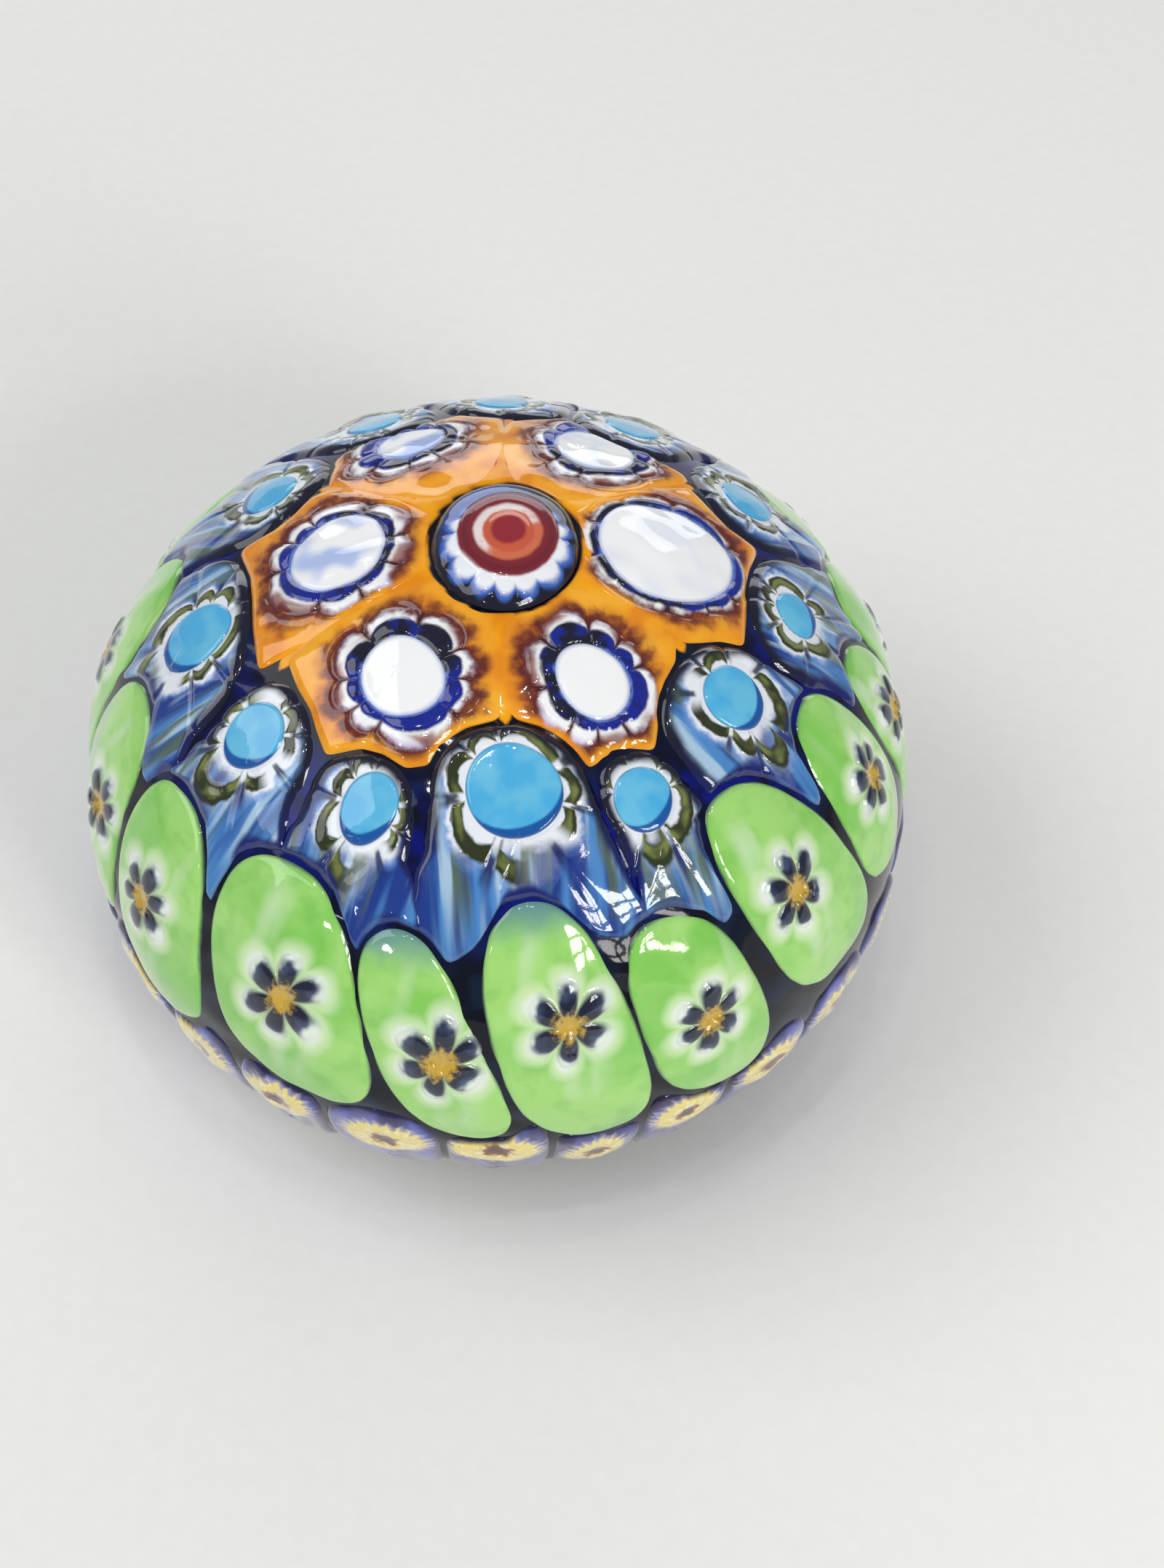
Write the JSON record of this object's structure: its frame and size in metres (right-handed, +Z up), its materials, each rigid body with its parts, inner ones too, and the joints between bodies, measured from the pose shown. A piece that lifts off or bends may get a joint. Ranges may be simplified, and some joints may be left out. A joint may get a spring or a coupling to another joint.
{
  "type": "paperweight",
  "caption": "Low rounded glass paperweight with a flat ground base, its dark body set all over with slices of patterned millefiori cane.",
  "frame": {"origin": "centre of the flat base face, on the surface the paperweight rests on", "axes": "+Z up through the crown cane, the largest turquoise button faces -Y, +X to its right"},
  "size_m": [0.07, 0.07, 0.048],
  "materials": {
    "cobalt_glass": "dark cobalt glass, fire polished, ground flat underneath",
    "crown_glass": "opaque red, white and navy cane glass, fire polished",
    "amber_cane_glass": "opaque amber casing round a white eye, fire polished",
    "turquoise_cane_glass": "turquoise button in blue and white casing, fire polished",
    "green_cane_glass": "opaque light green cane with a dark six-petal flower, fire polished",
    "skirt_cane_glass": "violet-blue streaked cane with a small yellow flower, fire polished"
  },
  "bodies": {
    "root": {"glass_body": "cobalt_glass", "crown_cane": "crown_glass", "amber_cane_01": "amber_cane_glass", "amber_cane_02": "amber_cane_glass", "amber_cane_03": "amber_cane_glass", "amber_cane_04": "amber_cane_glass", "amber_cane_05": "amber_cane_glass", "amber_cane_06": "amber_cane_glass", "turquoise_cane_01": "turquoise_cane_glass", "turquoise_cane_02": "turquoise_cane_glass", "turquoise_cane_03": "turquoise_cane_glass", "turquoise_cane_04": "turquoise_cane_glass", "turquoise_cane_05": "turquoise_cane_glass", "turquoise_cane_06": "turquoise_cane_glass", "turquoise_cane_07": "turquoise_cane_glass", "turquoise_cane_08": "turquoise_cane_glass", "turquoise_cane_09": "turquoise_cane_glass", "turquoise_cane_10": "turquoise_cane_glass", "turquoise_cane_11": "turquoise_cane_glass", "turquoise_cane_12": "turquoise_cane_glass", "green_cane_01": "green_cane_glass", "green_cane_02": "green_cane_glass", "green_cane_03": "green_cane_glass", "green_cane_04": "green_cane_glass", "green_cane_05": "green_cane_glass", "green_cane_06": "green_cane_glass", "green_cane_07": "green_cane_glass", "green_cane_08": "green_cane_glass", "green_cane_09": "green_cane_glass", "green_cane_10": "green_cane_glass", "green_cane_11": "green_cane_glass", "green_cane_12": "green_cane_glass", "green_cane_13": "green_cane_glass", "green_cane_14": "green_cane_glass", "green_cane_15": "green_cane_glass", "green_cane_16": "green_cane_glass", "green_cane_17": "green_cane_glass", "skirt_cane_01": "skirt_cane_glass", "skirt_cane_02": "skirt_cane_glass", "skirt_cane_03": "skirt_cane_glass", "skirt_cane_04": "skirt_cane_glass", "skirt_cane_05": "skirt_cane_glass", "skirt_cane_06": "skirt_cane_glass", "skirt_cane_07": "skirt_cane_glass", "skirt_cane_08": "skirt_cane_glass", "skirt_cane_09": "skirt_cane_glass", "skirt_cane_10": "skirt_cane_glass", "skirt_cane_11": "skirt_cane_glass", "skirt_cane_12": "skirt_cane_glass", "skirt_cane_13": "skirt_cane_glass", "skirt_cane_14": "skirt_cane_glass", "skirt_cane_15": "skirt_cane_glass", "skirt_cane_16": "skirt_cane_glass", "skirt_cane_17": "skirt_cane_glass", "skirt_cane_18": "skirt_cane_glass", "skirt_cane_19": "skirt_cane_glass", "skirt_cane_20": "skirt_cane_glass", "skirt_cane_21": "skirt_cane_glass", "skirt_cane_22": "skirt_cane_glass", "skirt_cane_23": "skirt_cane_glass"}
  },
  "joints": []
}
